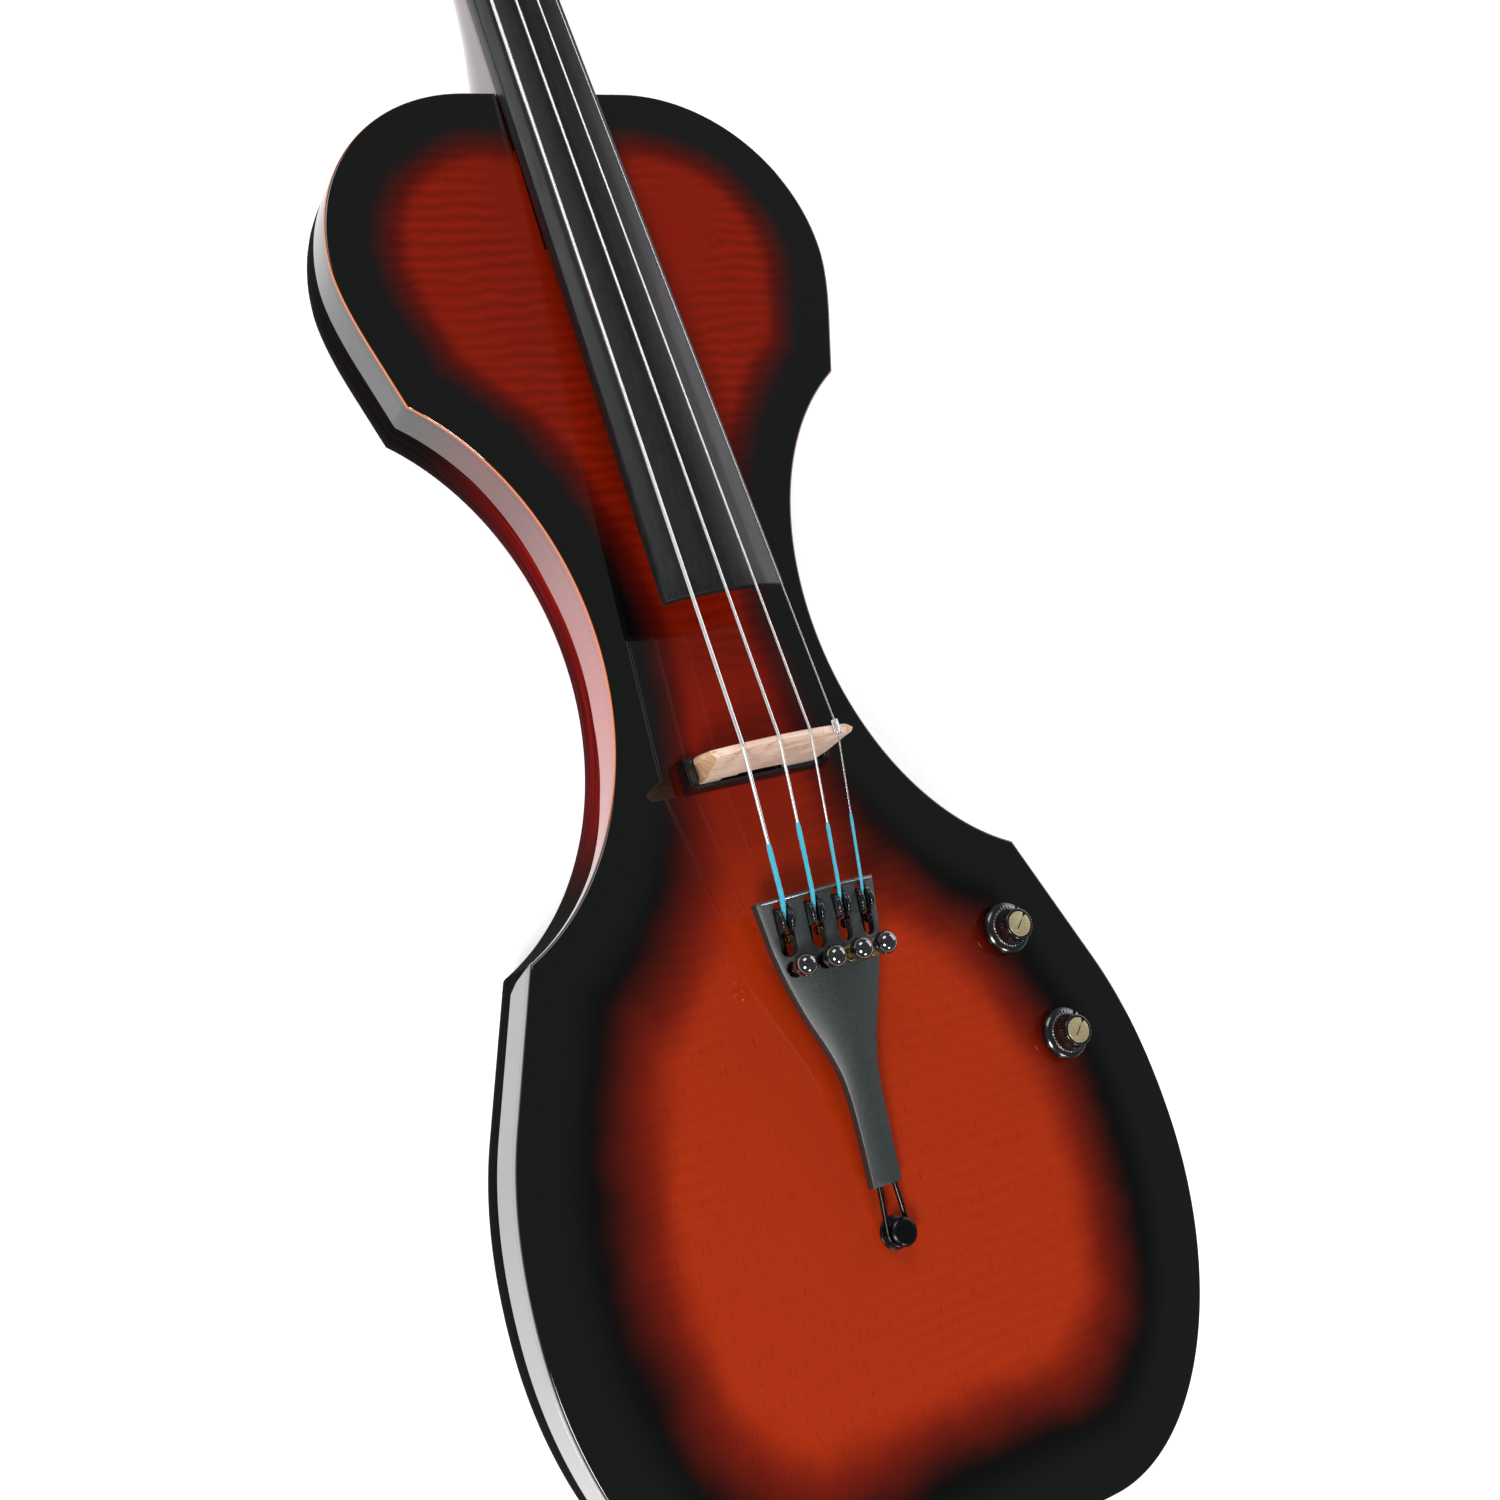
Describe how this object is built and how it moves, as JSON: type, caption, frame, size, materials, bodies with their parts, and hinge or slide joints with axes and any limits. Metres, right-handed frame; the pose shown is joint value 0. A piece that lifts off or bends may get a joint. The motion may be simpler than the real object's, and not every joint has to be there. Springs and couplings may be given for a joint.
{
  "type": "electric cello",
  "caption": "Solid-body electric cello with a glossy sunburst top, waisted outline, maple bridge on a piezo base, black tailpiece with fine tuners, side controls and a retractable endpin.",
  "frame": {"origin": "on the flat back, straight under the bridge", "axes": "+Y along the strings towards the scroll, +Z out of the front, +X towards the A string"},
  "size_m": [0.316, 1.2712, 0.1042],
  "materials": {
    "body_lacquer": "high-gloss lacquer, dark red fading to black",
    "top_sunburst": "mirror-gloss sunburst on flamed maple, black rim to red-orange centre",
    "ebony": "satin, stained black",
    "bridge_maple": "bare maple with brown flecks",
    "tailpiece_black": "satin composite",
    "pickup_black": "semi-gloss",
    "black_chrome": "black mirror plating",
    "black_metal": "satin black",
    "knob_black": "polished",
    "knob_gold": "brushed",
    "string_steel": "wound, polished",
    "brass": "plain",
    "clear_tube": "translucent",
    "steel": "polished",
    "rubber": "matte",
    "circuit": "green solder mask",
    "battery_skin": "printed sleeve, no lettering",
    "cable_black": "matte sleeve"
  },
  "bodies": {
    "instrument": {"battery": "battery_skin", "battery_box": "pickup_black", "battery_lead": "cable_black", "body": "body_lacquer", "bridge": "bridge_maple", "control_cover": "pickup_black", "cover_screw_a": "black_metal", "cover_screw_b": "black_metal", "endpin_collar": "black_metal", "fingerboard": "ebony", "jack_lead": "cable_black", "neck": "body_lacquer", "nut": "ebony", "output_jack": "black_metal", "pickup_base": "pickup_black", "pickup_lead": "cable_black", "piezo_strip": "brass", "preamp_board": "circuit", "preamp_chip": "pickup_black", "string_A": "string_steel", "string_C": "string_steel", "string_D": "string_steel", "string_G": "string_steel", "string_sleeve": "clear_tube", "tail_anchor": "black_metal", "tail_cord": "black_metal", "tailpiece": "tailpiece_black", "tailpiece_fret": "steel", "tone_pot": "steel", "top_plate": "top_sunburst", "tuner_axle": "steel", "volume_pot": "steel"},
    "peg_C": {"peg_C": "ebony"},
    "peg_G": {"peg_G": "ebony"},
    "peg_D": {"peg_D": "ebony"},
    "peg_A": {"peg_A": "ebony"},
    "lever_C": {"tuner_lever_C": "black_metal", "string_ball_C": "brass"},
    "stem_C": {"tuner_stem_C": "black_metal"},
    "head_C": {"tuner_head_C": "black_chrome"},
    "lever_G": {"tuner_lever_G": "black_metal", "string_ball_G": "brass"},
    "stem_G": {"tuner_stem_G": "black_metal"},
    "head_G": {"tuner_head_G": "black_chrome"},
    "lever_D": {"tuner_lever_D": "black_metal", "string_ball_D": "brass"},
    "stem_D": {"tuner_stem_D": "black_metal"},
    "head_D": {"tuner_head_D": "black_chrome"},
    "lever_A": {"tuner_lever_A": "black_metal", "string_ball_A": "brass"},
    "stem_A": {"tuner_stem_A": "black_metal"},
    "head_A": {"tuner_head_A": "black_chrome"},
    "volume_knob": {"volume_knob": "knob_black", "volume_disc": "knob_gold"},
    "tone_knob": {"tone_knob": "knob_black", "tone_disc": "knob_gold"},
    "endpin": {"endpin_rod": "steel", "endpin_tip": "rubber"},
    "endpin_screw": {"endpin_screw": "black_chrome"},
    "battery_door": {"battery_door": "pickup_black"}
  },
  "joints": [
    {"name": "peg_C_turn", "type": "hinge", "parent": "instrument", "child": "peg_C", "pos_m": [0, 0.726, 0.018], "axis": [-1, 0, 0], "continuous": true},
    {"name": "peg_G_turn", "type": "hinge", "parent": "instrument", "child": "peg_G", "pos_m": [0, 0.778, 0.018], "axis": [-1, 0, 0], "continuous": true},
    {"name": "peg_D_turn", "type": "hinge", "parent": "instrument", "child": "peg_D", "pos_m": [0, 0.802, 0.018], "axis": [1, 0, 0], "continuous": true},
    {"name": "peg_A_turn", "type": "hinge", "parent": "instrument", "child": "peg_A", "pos_m": [0, 0.75, 0.018], "axis": [1, 0, 0], "continuous": true},
    {"name": "lever_C_pivot", "type": "hinge", "parent": "instrument", "child": "lever_C", "pos_m": [-0.0197, -0.072, 0.074], "axis": [1, 0, 0], "range_deg": [0, 8.03]},
    {"name": "stem_C_travel", "type": "slide", "parent": "instrument", "child": "stem_C", "axis": [0, 0, -1], "range_m": [0, 0.0028]},
    {"name": "head_C_turn", "type": "hinge", "parent": "stem_C", "child": "head_C", "pos_m": [-0.0197, -0.0917, 0.09], "axis": [0, 0, -1], "range_deg": [0, 1445]},
    {"name": "lever_G_pivot", "type": "hinge", "parent": "instrument", "child": "lever_G", "pos_m": [-0.00656, -0.072, 0.074], "axis": [1, 0, 0], "range_deg": [0, 8.03]},
    {"name": "stem_G_travel", "type": "slide", "parent": "instrument", "child": "stem_G", "axis": [0, 0, -1], "range_m": [0, 0.0028]},
    {"name": "head_G_turn", "type": "hinge", "parent": "stem_G", "child": "head_G", "pos_m": [-0.00656, -0.0917, 0.09], "axis": [0, 0, -1], "range_deg": [0, 1445]},
    {"name": "lever_D_pivot", "type": "hinge", "parent": "instrument", "child": "lever_D", "pos_m": [0.00656, -0.072, 0.074], "axis": [1, 0, 0], "range_deg": [0, 8.03]},
    {"name": "stem_D_travel", "type": "slide", "parent": "instrument", "child": "stem_D", "axis": [0, 0, -1], "range_m": [0, 0.0028]},
    {"name": "head_D_turn", "type": "hinge", "parent": "stem_D", "child": "head_D", "pos_m": [0.00656, -0.0917, 0.09], "axis": [0, 0, -1], "range_deg": [0, 1445]},
    {"name": "lever_A_pivot", "type": "hinge", "parent": "instrument", "child": "lever_A", "pos_m": [0.0197, -0.072, 0.074], "axis": [1, 0, 0], "range_deg": [0, 8.03]},
    {"name": "stem_A_travel", "type": "slide", "parent": "instrument", "child": "stem_A", "axis": [0, 0, -1], "range_m": [0, 0.0028]},
    {"name": "head_A_turn", "type": "hinge", "parent": "stem_A", "child": "head_A", "pos_m": [0.0197, -0.0917, 0.09], "axis": [0, 0, -1], "range_deg": [0, 1445]},
    {"name": "volume_turn", "type": "hinge", "parent": "instrument", "child": "volume_knob", "pos_m": [0.0995, -0.099, 0.068], "axis": [0, 0, -1], "range_deg": [-150, 150]},
    {"name": "tone_turn", "type": "hinge", "parent": "instrument", "child": "tone_knob", "pos_m": [0.112, -0.151, 0.068], "axis": [0, 0, -1], "range_deg": [-150, 150]},
    {"name": "endpin_slide", "type": "slide", "parent": "instrument", "child": "endpin", "axis": [0, -1, 0], "range_m": [0, 0.36]},
    {"name": "endpin_screw_turn", "type": "hinge", "parent": "instrument", "child": "endpin_screw", "pos_m": [0, -0.3482, 0.055], "axis": [0, 0, 1], "range_deg": [0, 540]},
    {"name": "battery_door_hinge", "type": "hinge", "parent": "instrument", "child": "battery_door", "pos_m": [-0.1128, -0.19, 0.0012], "axis": [0, 1, 0], "range_deg": [0, 100]}
  ],
  "couplings": [
    {"joint": "head_C_turn", "follows": "stem_C_travel", "rad_per_m": 8976},
    {"joint": "lever_C_pivot", "follows": "stem_C_travel", "rad_per_m": 50},
    {"joint": "head_G_turn", "follows": "stem_G_travel", "rad_per_m": 8976},
    {"joint": "lever_G_pivot", "follows": "stem_G_travel", "rad_per_m": 50},
    {"joint": "head_D_turn", "follows": "stem_D_travel", "rad_per_m": 8976},
    {"joint": "lever_D_pivot", "follows": "stem_D_travel", "rad_per_m": 50},
    {"joint": "head_A_turn", "follows": "stem_A_travel", "rad_per_m": 8976},
    {"joint": "lever_A_pivot", "follows": "stem_A_travel", "rad_per_m": 50}
  ]
}
